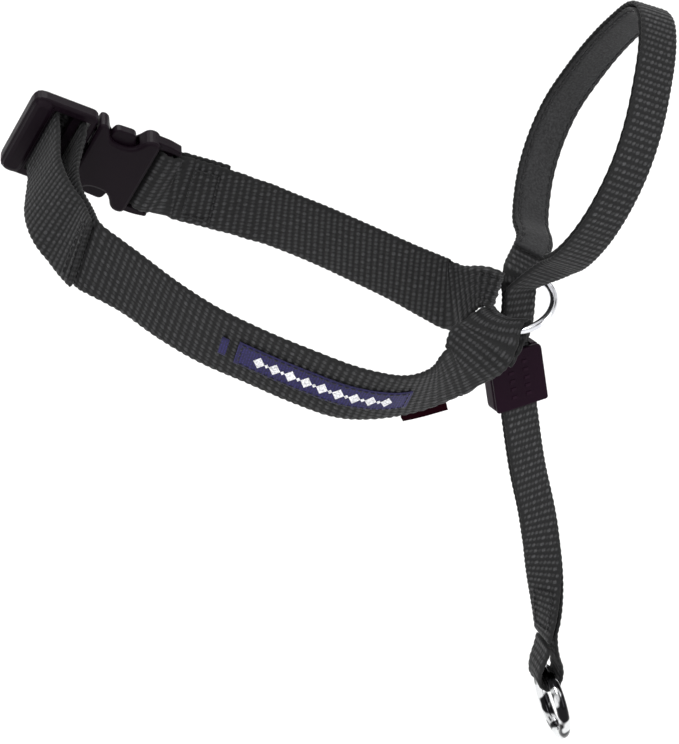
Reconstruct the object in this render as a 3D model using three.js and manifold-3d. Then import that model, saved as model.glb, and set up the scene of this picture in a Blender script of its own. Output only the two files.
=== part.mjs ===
// Head halter for a dog: a 19 mm neck collar with a side-release buckle, a padded 9.5 mm nose loop that
// runs through a centre ring and a sliding clamp, and a hanging lead strap that ends in a leash ring.
// Millimetres, +Z up, +X the way the muzzle points, origin in the middle of the neck opening.
import * as THREE from 'three';
import { mergeVertices } from 'three/addons/utils/BufferGeometryUtils.js';
import Module from 'manifold-3d';

const wasm = await Module();
wasm.setup();

// ---- sizes -------------------------------------------------------------------------------------------
const GAP = 0.3; // room left between pieces that rest on each other
const NECK_W = 19; // collar webbing
const NECK_T = 1.6;
const NOSE_W = 9.5; // nose and lead webbing
const NOSE_T = 1.3;
const PAD_T = 1.2; // soft lining inside the nose loop
const THREAD = 0.5;

const RING_R = 8.8; // centre ring, to the middle of the wire
const RING_WIRE = 1;
const LEASH_R = 9; // leash ring
const LEASH_WIRE = 1.5;

// ---- colours -----------------------------------------------------------------------------------------
const paint = (color, roughness, metalness = 0) => (
  new THREE.MeshStandardMaterial({ color, roughness, metalness })
);
const WEB = paint(0x26272a, 0.85);
const LINING = paint(0x303236, 0.95);
const PLASTIC = paint(0x241d27, 0.45);
const CHROME = paint(0xd8dadd, 0.12, 1);
const LABEL = paint(0x1d1b4d, 0.7);
const YARN = paint(0x55575c, 0.8);

// ---- small helpers -----------------------------------------------------------------------------------
const V = (x, y, z) => new THREE.Vector3(x, y, z);
const unit = (x, y, z) => V(x, y, z).normalize();
const mix = (a, b, t) => a + (b - a) * t;
const move = (p, ...steps) => {
  const q = p.clone();
  for (const [dir, d] of steps) q.addScaledVector(dir, d);
  return q;
};

function flipIfInside(geometry) {
  const p = geometry.getAttribute('position');
  const k = geometry.index.array;
  let volume = 0;
  for (let i = 0; i < k.length; i += 3) {
    const [a, b, c] = [0, 1, 2].map(j => new THREE.Vector3().fromBufferAttribute(p, k[i + j]));
    volume += a.dot(b.cross(c));
  }
  if (volume < 0) {
    for (let i = 0; i < k.length; i += 3) [k[i], k[i + 1]] = [k[i + 1], k[i]];
  }
  return geometry;
}

function piece(name, geometry, material) {
  const mesh = new THREE.Mesh(geometry, material);
  mesh.name = name;
  return mesh;
}

// Closed mesh through a row of equal outlines, with flat ends.
function skin(rows) {
  const n = rows[0].length;
  const pos = rows.flat().flatMap(q => [q.x, q.y, q.z]);
  const idx = [];
  for (let i = 0; i + 1 < rows.length; i++) {
    for (let j = 0; j < n; j++) {
      const a = i * n + j;
      const b = i * n + ((j + 1) % n);
      idx.push(a, a + n, b, b, a + n, b + n);
    }
  }
  const half = n / 2;
  const last = (rows.length - 1) * n;
  for (let j = 0; j + 1 < half; j++) {
    const k = n - 1 - j;
    idx.push(j, j + 1, k, j + 1, k - 1, k);
    idx.push(last + j, last + k, last + j + 1, last + j + 1, last + k, last + k - 1);
  }
  const g = new THREE.BufferGeometry();
  g.setAttribute('position', new THREE.Float32BufferAttribute(pos, 3));
  g.setIndex(idx);
  flipIfInside(g);
  g.computeVertexNormals();
  return g;
}

// A strap: one outline of columns per frame. A frame has a centre p, a width direction w and a face n.
function strap(frames, width, thick, cols = 1) {
  return skin(frames.map(f => {
    const half = (f.width ?? width) / 2;
    const row = [];
    for (const side of [1, -1]) {
      for (let j = 0; j <= cols; j++) {
        const u = side * mix(-half, half, j / cols);
        const q = move(f.p, [f.w, u], [f.n, side * thick / 2]);
        if (f.bow) q.addScaledVector(f.bow.dir, f.bow.reach(u));
        row.push(q);
      }
    }
    return row;
  }));
}

// A smooth rail through stations [x, y, z,  wx, wy, wz,  width].
function rail(stations) {
  const curve = (pick, ...type) => new THREE.CatmullRomCurve3(stations.map(pick), false, ...type);
  const path = curve(s => V(s[0], s[1], s[2]), 'centripetal');
  const wide = curve(s => V(s[3], s[4], s[5]), 'catmullrom', 0.5);
  const size = curve(s => V(s[6] ?? NECK_W, 0, 0), 'catmullrom', 0.5);
  return t => {
    const p = path.getPoint(t);
    const along = path.getTangent(t);
    const w = wide.getPoint(t);
    w.addScaledVector(along, -w.dot(along)).normalize();
    const n = along.clone().cross(w).normalize();
    return { p, along, w, n, width: size.getPoint(t).x };
  };
}

const along = (on, from, to, count) => spread(from, to, count).map(on);
const spread = (from, to, count) => (
  Array.from({ length: count }, (_, i) => mix(from, to, i / (count - 1)))
);
const lifted = (f, h) => ({ ...f, p: move(f.p, [f.n, h]) });
const patch = (on, from, to, count, h, width) => (
  along(on, from, to, count).map(f => ({ ...lifted(f, h), width }))
);

// A sewn yarn lying on a strap: points are [place along the rail, distance across], lifted off the face.
function yarn(on, points, lift, count = 60, size = THREAD) {
  const plan = new THREE.CatmullRomCurve3(points.map(([t, u]) => V(t * 200, u, 0)), false, 'centripetal');
  const at = s => {
    const q = plan.getPointAt(s);
    const f = on(q.x / 200);
    return { p: move(f.p, [f.w, q.y], [f.n, lift]), n: f.n };
  };
  return strap(spread(0, 1, count).map(s => {
    const here = at(s);
    const ahead = at(Math.min(1, s + 0.004)).p.sub(at(Math.max(0, s - 0.004)).p).normalize();
    return { p: here.p, n: here.n, w: ahead.cross(here.n).normalize(), width: size };
  }), size, size);
}

// Solids for the moulded pieces.
function toManifold(geometry) {
  const g = geometry.index ? geometry.clone() : mergeVertices(geometry.clone());
  g.deleteAttribute('normal');
  g.deleteAttribute('uv');
  const m = mergeVertices(g, 1e-4);
  return new wasm.Manifold(new wasm.Mesh({
    numProp: 3,
    vertProperties: new Float32Array(m.getAttribute('position').array),
    triVerts: new Uint32Array(m.index.array),
  }));
}

function fromManifold(solid) {
  const m = solid.getMesh();
  const g = new THREE.BufferGeometry();
  g.setAttribute('position', new THREE.Float32BufferAttribute(m.vertProperties, 3));
  g.setIndex(Array.from(m.triVerts));
  g.computeVertexNormals();
  return g;
}

function block(x0, x1, y0, y1, z0, z1) {
  const g = new THREE.BoxGeometry(x1 - x0, y1 - y0, z1 - z0);
  g.translate((x0 + x1) / 2, (y0 + y1) / 2, (z0 + z1) / 2);
  return toManifold(g);
}

// Flat plate with softened edges from an outline of [x, y] corners (negative radius = sharp corner).
function plate(corners, z0, z1, soften = 0.5, radius = 1) {
  const s = new THREE.Shape();
  const n = corners.length;
  corners.forEach(([x, y, r = radius], i) => {
    const [px, py] = corners[(i + n - 1) % n];
    const [qx, qy] = corners[(i + 1) % n];
    const a = V(px - x, py - y, 0);
    const b = V(qx - x, qy - y, 0);
    const cut = Math.min(Math.max(r, 1.6 * soften), a.length() / 2.1, b.length() / 2.1);
    a.setLength(cut);
    b.setLength(cut);
    if (i === 0) s.moveTo(x + a.x, y + a.y);
    else s.lineTo(x + a.x, y + a.y);
    if (cut > 0.05) s.quadraticCurveTo(x, y, x + b.x, y + b.y);
  });
  s.closePath();
  const g = new THREE.ExtrudeGeometry(s, {
    depth: z1 - z0 - 2 * soften,
    bevelEnabled: soften > 0,
    bevelThickness: soften,
    bevelSize: soften,
    bevelOffset: -soften,
    bevelSegments: 2,
    curveSegments: 4,
  });
  g.translate(0, 0, z0 + soften);
  return toManifold(g);
}

// Round bar along y.
function bar(x, z, r, y0, y1, sides = 16) {
  const g = new THREE.CylinderGeometry(r, r, y1 - y0, sides);
  g.translate(x, (y0 + y1) / 2, z);
  return toManifold(g);
}

// ---- where the big pieces sit ------------------------------------------------------------------------
// Buckle frame: x toward the free end of the ladder, y across the webbing, z away from the neck.
const BUCKLE_AT = V(-41.2, 32.6, 17);
const BUCKLE_X = unit(-0.887, -0.168, 0.426);
const BUCKLE_Y = unit(0.457, -0.225, 0.86);
const BUCKLE_Z = BUCKLE_X.clone().cross(BUCKLE_Y).normalize();
const buckle = (a, b, c) => move(BUCKLE_AT, [BUCKLE_X, a], [BUCKLE_Y, b], [BUCKLE_Z, c]);

// Centre ring: lies level with its face a little to the front; the collar is folded round its left side.
const RING_AT = V(54.7, -10.6, -1.2);
const RING_Z = unit(-0.2, -0.45, 0.87);
const RING_IN = unit(0.68, 0.585, 0.447);
const RING_ALONG = RING_Z.clone().cross(RING_IN).normalize();
const ringPoint = (inward, along, up) => (
  move(RING_AT, [RING_IN, inward - RING_R], [RING_ALONG, along], [RING_Z, up])
);
const ringBow = u => RING_R - Math.sqrt(RING_R * RING_R - u * u);

// Straight legs of the nose webbing, from the ring down through the clamp.
const LEG_AT = V(52.7, -10, -13);
const LEG_DOWN = unit(0.15, 0, -1);
const LEG_W = unit(0.9, 0.41, 0.135);
const LEG_N = LEG_DOWN.clone().cross(LEG_W).normalize();

// ---- collar webbing ----------------------------------------------------------------------------------
const FAR = rail([
  [-41.2, 32.6, 17, 0.457, -0.225, 0.86],
  [-31.7, 33.9, 13, 0.36, -0.15, 0.92],
  [-22, 33.3, 10.4, 0.26, -0.19, 0.95],
  [-12.3, 30.6, 8, 0.19, -0.24, 0.95],
  [-3, 26.4, 5.8, 0.12, -0.26, 0.96],
  [6.2, 21, 3.9, 0.1, -0.24, 0.97],
  [15, 14.6, 2.2, 0.1, -0.22, 0.97],
  [23.5, 8, 0.6, 0.15, -0.23, 0.96],
  [32, 0.8, -1, 0.3, -0.27, 0.91],
  [38.4, -5.6, -1.2, 0.38, -0.24, 0.89, 18],
  [42, -9.2, 1.9, 0.42, -0.06, 0.9, 12],
  [45.8, -12.4, 4.5, 0.35, 0.2, 0.9, 8.2],
  [49.2, -15, 5, 0.3, 0.25, 0.9, 7.5],
]);

const NEAR = rail([
  [-51.5, -14.3, 12.6, 0.3, -0.09, 0.95],
  [-41.5, -19.4, 8, 0.29, -0.26, 0.92],
  [-32, -25, 3, 0.29, -0.3, 0.91],
  [-22, -29.6, -1.6, 0.27, -0.33, 0.9],
  [-10.5, -32.8, -6, 0.26, -0.37, 0.89],
  [1, -34.6, -10.5, 0.3, -0.36, 0.88],
  [12.5, -34.4, -15, 0.34, -0.38, 0.86],
  [23.5, -31, -17.6, 0.32, -0.48, 0.81],
  [33, -26.2, -17, 0.02, -0.55, 0.83],
  [40.5, -22.6, -13.2, -0.5, -0.42, 0.75, 17.5],
]);

// Corner side of the collar, from the hem to the ladder; the free tail lies outside it.
const BACK = rail([
  [-51.9, -13.6, 12.7, 0.31, -0.07, 0.95],
  [-55.4, -6.2, 14.2, 0.44, -0.02, 0.9],
  [-59.2, 1.6, 17, 0.52, -0.04, 0.85],
  [-60.6, 9.6, 19.4, 0.53, -0.1, 0.84],
  [-59.8, 17, 21.9, 0.49, -0.16, 0.85],
]);

const FAR_DOUBLE = 0.98; // each layer of the doubled end from the middle of the pair

// The far half: turned-back end, round the bar of the housing, then along to the lap over the ring fold.
const barTurn = [
  [-8, 1.2], [-5.8, 2.1], [-3.7, 2.5], [-2, 1.75], [-1.2, 0],
  [-2, -1.75], [-3.7, -2.5], [-5.8, -2.1], [-8, -1.2],
];
const turnAround = barTurn.map(([a, c], i) => {
  const [pa, pc] = barTurn[Math.max(0, i - 1)];
  const [na, nc] = barTurn[Math.min(barTurn.length - 1, i + 1)];
  const dir = buckle(na, 0, nc).sub(buckle(pa, 0, pc)).normalize();
  return { p: buckle(a, 0, c), w: BUCKLE_Y, n: dir.clone().cross(BUCKLE_Y).normalize() };
});
const turnedOver = (f, h) => ({ ...f, p: move(f.p, [f.n, h]), n: f.n.clone().negate() });
const backing = along(FAR, 0.205, 0.095, 8).map(f => turnedOver(f, -FAR_DOUBLE));
const farFrames = [
  ...backing,
  ...turnAround,
  ...along(FAR, 0.095, 0.205, 8).map(f => lifted(f, FAR_DOUBLE)),
  ...along(FAR, 0.26, 0.3, 2).map(f => lifted(f, 0.6)),
  ...along(FAR, 0.34, 1, 34),
];

// The near half: along from the hem, then folded round the wire of the centre ring.
const foldTurn = [
  [-5.5, 0.9], [-2.4, 2.5], [0, 2.65], [1.9, 1.85], [2.6, 0],
  [1.9, -1.85], [0, -2.6], [-2.4, -2.5], [-5.5, -1.7],
];
const fold = foldTurn.map(([a, c], i) => {
  const [pa, pc] = foldTurn[Math.max(0, i - 1)];
  const [na, nc] = foldTurn[Math.min(foldTurn.length - 1, i + 1)];
  const dir = ringPoint(na, 0, nc).sub(ringPoint(pa, 0, pc)).normalize();
  const away = Math.max(0, -a) / 5.5;
  const w = RING_ALONG.clone().lerp(unit(-0.8, 0.1, 0.5), away * 0.6);
  w.addScaledVector(dir, -w.dot(dir)).normalize();
  return {
    p: ringPoint(a, 0, c),
    w,
    n: dir.clone().cross(w).normalize(),
    width: mix(9.8, 13.5, away),
    bow: { dir: RING_IN, reach: u => ringBow(u) * (1 - away) },
  };
});
const nearFrames = [...along(NEAR, 0.014, 1, 46), ...fold];

// Adjuster end: hem side of the strap, through the inner slot, over the middle bar, back out as the tail.
const INNER_SLOT = 20.15;
const OUTER_SLOT = 27.6;
const slotFrame = (a, c, da, dc) => {
  const dir = buckle(da, 0, dc).sub(buckle(0, 0, 0)).normalize();
  return { p: buckle(a, 0, c), w: BUCKLE_Y, n: dir.clone().cross(BUCKLE_Y).normalize() };
};
const adjuster = [
  ...along(BACK, 0, 1, 14),
  slotFrame(INNER_SLOT, -6, 0, 1),
  slotFrame(INNER_SLOT, -3.5, 0, 1),
  slotFrame(INNER_SLOT, 0, 0, 1),
  slotFrame(INNER_SLOT + 0.4, 1.9, 0.3, 1),
  slotFrame(INNER_SLOT + 1.4, 2.9, 1, 0.5),
  slotFrame(INNER_SLOT + 2.4, 3.15, 1, 0),
  slotFrame(OUTER_SLOT - 1.2, 2.9, 1, -0.5),
  slotFrame(OUTER_SLOT - 0.3, 1.9, 0.3, -1),
  slotFrame(OUTER_SLOT, 0, 0, -1),
  slotFrame(OUTER_SLOT, -3.5, 0, -1),
  slotFrame(OUTER_SLOT - 0.3, -8, -0.1, -1),
];
const TAIL_OVER = NECK_T + GAP + 0.1;
const tail = along(BACK, 0.86, 0.02, 14).map((f, i) => {
  const h = mix(TAIL_OVER + 3.2, TAIL_OVER, Math.min(1, i / 8));
  return turnedOver(f, -h);
});

const halter = new THREE.Group();
halter.name = 'head_halter';
halter.add(piece('neck_strap_far', strap(farFrames, NECK_W, NECK_T, 2), WEB));
halter.add(piece('neck_strap_near', strap(nearFrames, NECK_W, NECK_T, 6), WEB));
halter.add(piece('neck_strap_adjuster_end', strap([...adjuster, ...tail], NECK_W, NECK_T, 2), WEB));

// ---- nose loop and lead webbing ----------------------------------------------------------------------
// Loop plane: U climbs from the ring over the muzzle, S points to the dog's right.
const LOOP_AT = V(57, -9.6, 1);
const LOOP_U = unit(0.36, 0.23, 0.9);
const LOOP_S = unit(0.26, -0.95, 0.17);
const LOOP_W = unit(0.92, 0.2, -0.36);
const teardrop = [
  [9.5, 8.6], [18.4, 12.8], [25.6, 20], [30.2, 29], [32, 39], [30.5, 49], [26, 59],
  [19.3, 69], [11, 75.5], [2, 76.5], [-7, 71.2], [-15.7, 63.6], [-23, 54.5], [-28, 46],
  [-29.4, 37], [-27.6, 28.5], [-23, 21], [-17, 15], [-9.5, 11.4],
];
const LEG_OFF = (NOSE_T + GAP) / 2;
const STRAIGHT = 33; // length of leg that stays straight, for the clamp to slide on
const RING_PASS = [54.7, -9.6, 0.5]; // where the legs pass through the centre ring
const loopPoint = ([s, u]) => move(LOOP_AT, [LOOP_U, u], [LOOP_S, s]);
const legPoint = (down, off = 0) => move(LEG_AT, [LEG_DOWN, down], [LEG_N, off]);
const station = (p, w) => [p.x, p.y, p.z, w.x, w.y, w.z, NOSE_W];

const LEAD = rail([
  [...RING_PASS, 0.91, 0.41, 0, 8.6],
  [54.3, -9.6, -6, 0.91, 0.41, 0.06, 8.6],
  station(legPoint(0), LEG_W),
  station(legPoint(STRAIGHT / 2), LEG_W),
  station(legPoint(STRAIGHT), LEG_W),
  [60.6, -10, -60, 0.93, 0.3, 0.14, NOSE_W],
  [62.5, -10, -73.5, 0.95, -0.2, 0.1, NOSE_W],
  [63.6, -10, -86, 0.7, -0.7, 0.05, NOSE_W],
  [63.6, -10, -95, 0.35, -0.93, 0, NOSE_W],
]);
const PASS_W = unit(0.91, 0.41, 0);
const PASS_N = LEAD(0).n;
const passPoint = (up, off) => move(V(...RING_PASS), [V(0.1, 0, 1), up], [PASS_N, off]);
const LOOP = rail([
  station(passPoint(0, LEG_OFF), PASS_W),
  station(passPoint(2.2, LEG_OFF), PASS_W),
  ...teardrop.map(q => station(loopPoint(q), LOOP_W)),
  station(passPoint(5, -LEG_OFF), PASS_W),
  station(passPoint(0, -LEG_OFF), PASS_W),
]);

// Eye at the bottom of the lead, folded round the wire of the leash ring.
const EYE_AT = V(63.9, -10, -105.5);
const EYE_W = unit(0.28, -0.96, 0);
const EYE_DOWN = V(0, 0, -1);
const EYE_SIDE = EYE_DOWN.clone().cross(EYE_W).normalize();
const eyeTurn = [
  [-6.5, -1.5], [-2.6, -2.85], [0, -3], [2.1, -2.1], [3, 0], [2.1, 2.1], [0, 3], [-2.6, 2.75],
  [-6.5, 1.3], [-8.8, 0.85],
];
const eyePoint = (down, side) => move(EYE_AT, [EYE_DOWN, down], [EYE_SIDE, side]);
const leashBow = u => LEASH_R - Math.sqrt(LEASH_R * LEASH_R - u * u);
const eye = eyeTurn.map(([d, s], i) => {
  const [pd, ps] = eyeTurn[Math.max(0, i - 1)];
  const [nd, ns] = eyeTurn[Math.min(eyeTurn.length - 1, i + 1)];
  const dir = eyePoint(nd, ns).sub(eyePoint(pd, ps)).normalize();
  const away = Math.min(1, Math.max(0, -d) / 5);
  return {
    p: eyePoint(d, s),
    w: EYE_W,
    n: dir.clone().cross(EYE_W).normalize(),
    width: mix(6.4, NOSE_W, away),
    bow: { dir: EYE_DOWN, reach: u => leashBow(u) * (1 - away) },
  };
});
const noseFrames = [
  ...along(LEAD, 1, 0, 26).map(f => turnedOver(f, LEG_OFF)),
  ...along(LOOP, 0.012, 0.988, 68),
  ...along(LEAD, 0, 0.985, 26).map(f => lifted(f, -LEG_OFF)),
  ...eye,
];
halter.add(piece('nose_strap', strap(noseFrames, NOSE_W, NOSE_T, 4), WEB));

const PAD_LIFT = NOSE_T / 2 + GAP + PAD_T / 2;
const lining = along(LOOP, 0.08, 0.93, 54).map(f => lifted(f, PAD_LIFT));
halter.add(piece('nose_pad_lining', strap(lining, NOSE_W, PAD_T, 2), LINING));
for (const [name, u] of [['nose_pad_stitching_front', 3.7], ['nose_pad_stitching_back', -3.7]]) {
  const seam = spread(0.085, 0.925, 30).map(t => [t, u]);
  halter.add(piece(name, yarn(LOOP, seam, PAD_LIFT + PAD_T / 2 + 0.5, 60), YARN));
}

// ---- rings -------------------------------------------------------------------------------------------
function ring(name, centre, normal, radius, wire) {
  const g = new THREE.TorusGeometry(radius, wire, 10, 40);
  const solid = new THREE.BufferGeometry();
  solid.setAttribute('position', g.getAttribute('position').clone());
  solid.setIndex(g.index.clone());
  const closed = mergeVertices(solid, 1e-3);
  closed.computeVertexNormals();
  const mesh = piece(name, closed, CHROME);
  mesh.quaternion.setFromUnitVectors(V(0, 0, 1), normal);
  mesh.position.copy(centre);
  return mesh;
}
const HANG = unit(0.2, 0, -1);
const LEASH_FACE = unit(0.94, 0.28, 0.19);
halter.add(ring('centre_ring', RING_AT, RING_Z, RING_R, RING_WIRE));
halter.add(ring('leash_ring', move(EYE_AT, [HANG, LEASH_R]), LEASH_FACE, LEASH_R, LEASH_WIRE));

// ---- buckle ------------------------------------------------------------------------------------------
const buckleFrame = new THREE.Matrix4().makeBasis(BUCKLE_X, BUCKLE_Y, BUCKLE_Z).setPosition(BUCKLE_AT);
function moulded(name, solid, frame) {
  const mesh = piece(name, fromManifold(solid), PLASTIC);
  mesh.applyMatrix4(frame);
  return mesh;
}
const MOUTH = 16.8;
const housingOutline = [
  [-0.3, -11.9, 2], [3.2, -12.1, 2], [6, -7.4, 2.8], [12.2, -7.4, 2.8], [14.6, -11.9, 2],
  [MOUTH, -11.8, 1.4], [MOUTH, 11.8, 1.4], [14.6, 11.9, 2], [12.2, 7.4, 2.8], [6, 7.4, 2.8],
  [3.2, 12.1, 2], [-0.3, 11.9, 2],
];
const wingOutline = [[-6.4, 10, 0.3], [2, 9.9, 0.3], [2, 11.9, 0.3], [-3, 11.8, 1], [-6.4, 11.2, 0.4]];
const sided = (outline, side) => outline.map(([a, b, r]) => [a, b * side, r]);
const wing = side => plate(sided(wingOutline, side), -1.8, 1.8, 0.3);
const housing = plate(housingOutline, -3.25, 3.25, 0.8)
  .subtract(block(2.4, MOUTH + 1, -9.2, 9.2, -1.9, 1.9))
  .subtract(block(4.8, 13, -13, 13, -1.7, 1.7))
  .add(wing(1))
  .add(wing(-1))
  .add(bar(-3.6, 0, 1.3, -10.4, 10.4));
halter.add(moulded('buckle_housing', housing, buckleFrame));

const CROSS = MOUTH + GAP;
const ladderOutline = [[CROSS, -12.3, 2], [35, -12.3, 3], [35, 12.3, 3], [CROSS, 12.3, 2]];
const endBar = [[29.2, -11.9, 2.4], [34.6, -11.9, 2.4], [34.6, 11.9, 2.4], [29.2, 11.9, 2.4]];
const tongue = [[5, -1.7, 0.6], [CROSS + 1, -1.7, 0.3], [CROSS + 1, 1.7, 0.3], [5, 1.7, 0.6]];
const ladder = plate(ladderOutline, -2.1, 2.1, 0.7)
  .subtract(block(18.9, 21.4, -10.1, 10.1, -5, 5))
  .subtract(block(23.4, 28.8, -10.1, 10.1, -5, 5))
  .subtract(block(20, 24, -10.1, 10.1, 1.2, 5))
  .subtract(block(20, 24, -10.1, 10.1, -5, -1.2))
  .add(plate(endBar, -3.3, 3, 1.3))
  .add(plate(tongue, -1.5, 1.5, 0.4));
halter.add(moulded('buckle_male_frame', ladder, buckleFrame));

const armOutline = [
  [3.6, 5.4, 0.6], [16.7, 3.1, 0.3], [16.7, 6.3, 0.3], [12.8, 8, 0.8],
  [12, 10.9, 1.2], [6.4, 11.2, 1.4], [5.6, 8, 0.6], [3.6, 7.6, 0.6],
];
for (const [name, side] of [['release_arm_upper', 1], ['release_arm_lower', -1]]) {
  halter.add(moulded(name, plate(sided(armOutline, side), -1.4, 1.4, 0.35), buckleFrame));
}

// ---- sliding clamp -----------------------------------------------------------------------------------
const CLAMP_AT = legPoint(8.2);
const LEG_UP = LEG_DOWN.clone().negate();
const clampFrame = new THREE.Matrix4().makeBasis(LEG_W, LEG_UP, LEG_N).setPosition(CLAMP_AT);
const clampOutline = [[-7.2, -7.8, 1.5], [7.2, -7.8, 1.5], [7.2, 7.8, 1.5], [-7.2, 7.8, 1.5]];
const clampBody = plate(clampOutline, -2.9, 1.7, 0.5)
  .subtract(block(-5.2, 5.2, -9, 9, -1.9, 4));
halter.add(moulded('clamp_body', clampBody, clampFrame));
const lidOutline = [[-7.2, -7.6, 0.8], [7.2, -7.6, 0.8], [7.2, 7.8, 1.6], [-7.2, 7.8, 1.6]];
const clampLid = plate(lidOutline, 2, 3.2, 0.35);
const gripDot = (x, y) => block(x - 0.7, x + 0.7, y - 0.4, y + 0.4, 3, 3.35);
const lidGrip = [-2, 2].flatMap(x => [-4.4, -2.2, 0, 2.2, 4.4].map(y => gripDot(x, y)));
const grippedLid = lidGrip.reduce((all, dot) => all.add(dot), clampLid);
halter.add(moulded('clamp_lid', grippedLid, clampFrame));

// ---- flat keeper inside the near strap, just before the ring ------------------------------------------
const KEEPER_T = 1.4;
const KEEPER_W = 17;
const KEEPER_IN = NECK_T / 2 + GAP + KEEPER_T / 2;
const KEEPER_BELOW = 6.5; // its middle sits this far below the strap's, so its lower edge shows
const keeper = along(NEAR, 0.845, 0.925, 5).map(f => (
  { ...f, p: move(f.p, [f.n, -KEEPER_IN], [f.w, -KEEPER_BELOW]), width: KEEPER_W }
));
halter.add(piece('strap_keeper', strap(keeper, KEEPER_W, KEEPER_T, 2), PLASTIC));

// ---- label and collar stitching ----------------------------------------------------------------------
const LABEL_T = 0.5;
const LABEL_LIFT = NECK_T / 2 + GAP + LABEL_T / 2;
const LABEL_W = 7.4;
const TAB_W = 5.6;
const labelRows = patch(NEAR, 0.42, 0.845, 20, LABEL_LIFT, LABEL_W);
const tabRows = patch(NEAR, 0.378, 0.396, 3, LABEL_LIFT, TAB_W);
halter.add(piece('woven_label', strap(labelRows, LABEL_W, LABEL_T, 2), LABEL));
halter.add(piece('label_tab', strap(tabRows, TAB_W, LABEL_T, 1), LABEL));
const boxPath = (t0, t1, u) => [[t0, -u], [t1, -u], [t1, u], [t0, u], [t0, -u * 0.75]];
const dense = path => path.slice(1).flatMap(([t, u], i) => {
  const [t0, u0] = path[i];
  return spread(0, 0.9, 4).map(k => [mix(t0, t, k), mix(u0, u, k)]);
});

// Rows across a strap, joined at alternate edges by half-round turns. reach is half the row's length
// and bend the radius of the turns, both in millimetres.
function rows(t0, t1, reach, count, bend) {
  const pitch = (t1 - t0) / (count - 1);
  return spread(0, count - 1, count).flatMap(i => {
    const side = i % 2 ? -1 : 1;
    const t = t0 + i * pitch;
    const start = -side * (i === 0 ? reach : reach - bend);
    const end = side * (i === count - 1 ? reach : reach - bend);
    const row = spread(0, 1, 6).map(k => [t, mix(start, end, k)]);
    const turn = spread(-60, 60, 5).map(degrees => {
      const a = degrees * Math.PI / 180;
      return [t + pitch * (0.5 + Math.sin(a) / 2), side * (reach - bend + bend * Math.cos(a))];
    });
    return i === count - 1 ? row : [...row, ...turn];
  });
}
const sewnLine = (name, on, points, lift, count) => {
  halter.add(piece(name, yarn(on, points, lift, count), YARN));
};
const ON_CLOTH = 0.6; // middle of the thread above the face that it lies on
const FAR_LIFT = FAR_DOUBLE + NECK_T / 2 + ON_CLOTH;
sewnLine('label_stitching', NEAR, dense(boxPath(0.428, 0.838, 3)), LABEL_LIFT + LABEL_T / 2 + ON_CLOTH, 110);
sewnLine('buckle_end_stitching', FAR, dense(boxPath(0.12, 0.185, 7)), FAR_LIFT, 80);
sewnLine('tail_hem_stitching', BACK, rows(0.05, 0.12, 7.5, 2, 1.2), -(TAIL_OVER + NECK_T / 2 + ON_CLOTH), 70);
sewnLine('junction_stitching', FAR, rows(0.952, 0.985, 3, 2, 1.6), NECK_T / 2 + ON_CLOTH, 60);
sewnLine('lead_end_stitching', LEAD, dense(boxPath(0.86, 0.97, 2.8)), LEG_OFF + NOSE_T / 2 + ON_CLOTH, 60);

export default halter;
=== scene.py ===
import bpy
import math
import numpy as np
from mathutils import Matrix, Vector


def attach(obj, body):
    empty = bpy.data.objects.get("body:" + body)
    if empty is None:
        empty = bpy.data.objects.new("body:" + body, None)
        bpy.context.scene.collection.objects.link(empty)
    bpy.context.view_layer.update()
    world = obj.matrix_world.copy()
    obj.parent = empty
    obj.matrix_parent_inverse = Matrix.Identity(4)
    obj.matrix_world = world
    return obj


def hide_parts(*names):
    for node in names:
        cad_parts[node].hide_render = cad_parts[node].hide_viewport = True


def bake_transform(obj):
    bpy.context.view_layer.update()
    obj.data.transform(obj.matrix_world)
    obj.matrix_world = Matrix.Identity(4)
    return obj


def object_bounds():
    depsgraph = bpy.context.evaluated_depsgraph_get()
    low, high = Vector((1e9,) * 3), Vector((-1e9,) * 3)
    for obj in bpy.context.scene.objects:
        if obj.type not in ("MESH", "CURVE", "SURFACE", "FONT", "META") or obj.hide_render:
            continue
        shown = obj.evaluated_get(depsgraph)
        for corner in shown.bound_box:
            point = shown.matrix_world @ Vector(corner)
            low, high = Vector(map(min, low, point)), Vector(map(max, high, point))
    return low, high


# Dog head halter. Metres; helper shapes are worked out in millimetres in the row frame and scaled at the end.
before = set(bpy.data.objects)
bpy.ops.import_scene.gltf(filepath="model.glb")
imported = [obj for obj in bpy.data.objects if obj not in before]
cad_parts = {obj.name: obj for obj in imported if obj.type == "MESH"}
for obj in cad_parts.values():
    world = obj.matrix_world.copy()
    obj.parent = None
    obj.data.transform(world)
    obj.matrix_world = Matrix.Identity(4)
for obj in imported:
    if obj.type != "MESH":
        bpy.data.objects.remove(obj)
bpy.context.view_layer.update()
MM = 0.001

WEB_W, WEB_T = 19.0, 1.6  # collar webbing
GAP = 0.3  # room left between pieces that rest on each other


# ---- small vector helpers ---------------------------------------------------------------------------
def arr(*v):
    return np.array(v, dtype=float)


def unit(v):
    v = np.asarray(v, dtype=float)
    return v / np.linalg.norm(v, axis=-1, keepdims=True)


def mix(a, b, t):
    return a + (b - a) * t


def smooth(t):
    t = np.clip(t, 0, 1)
    return t * t * (3 - 2 * t)


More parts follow.
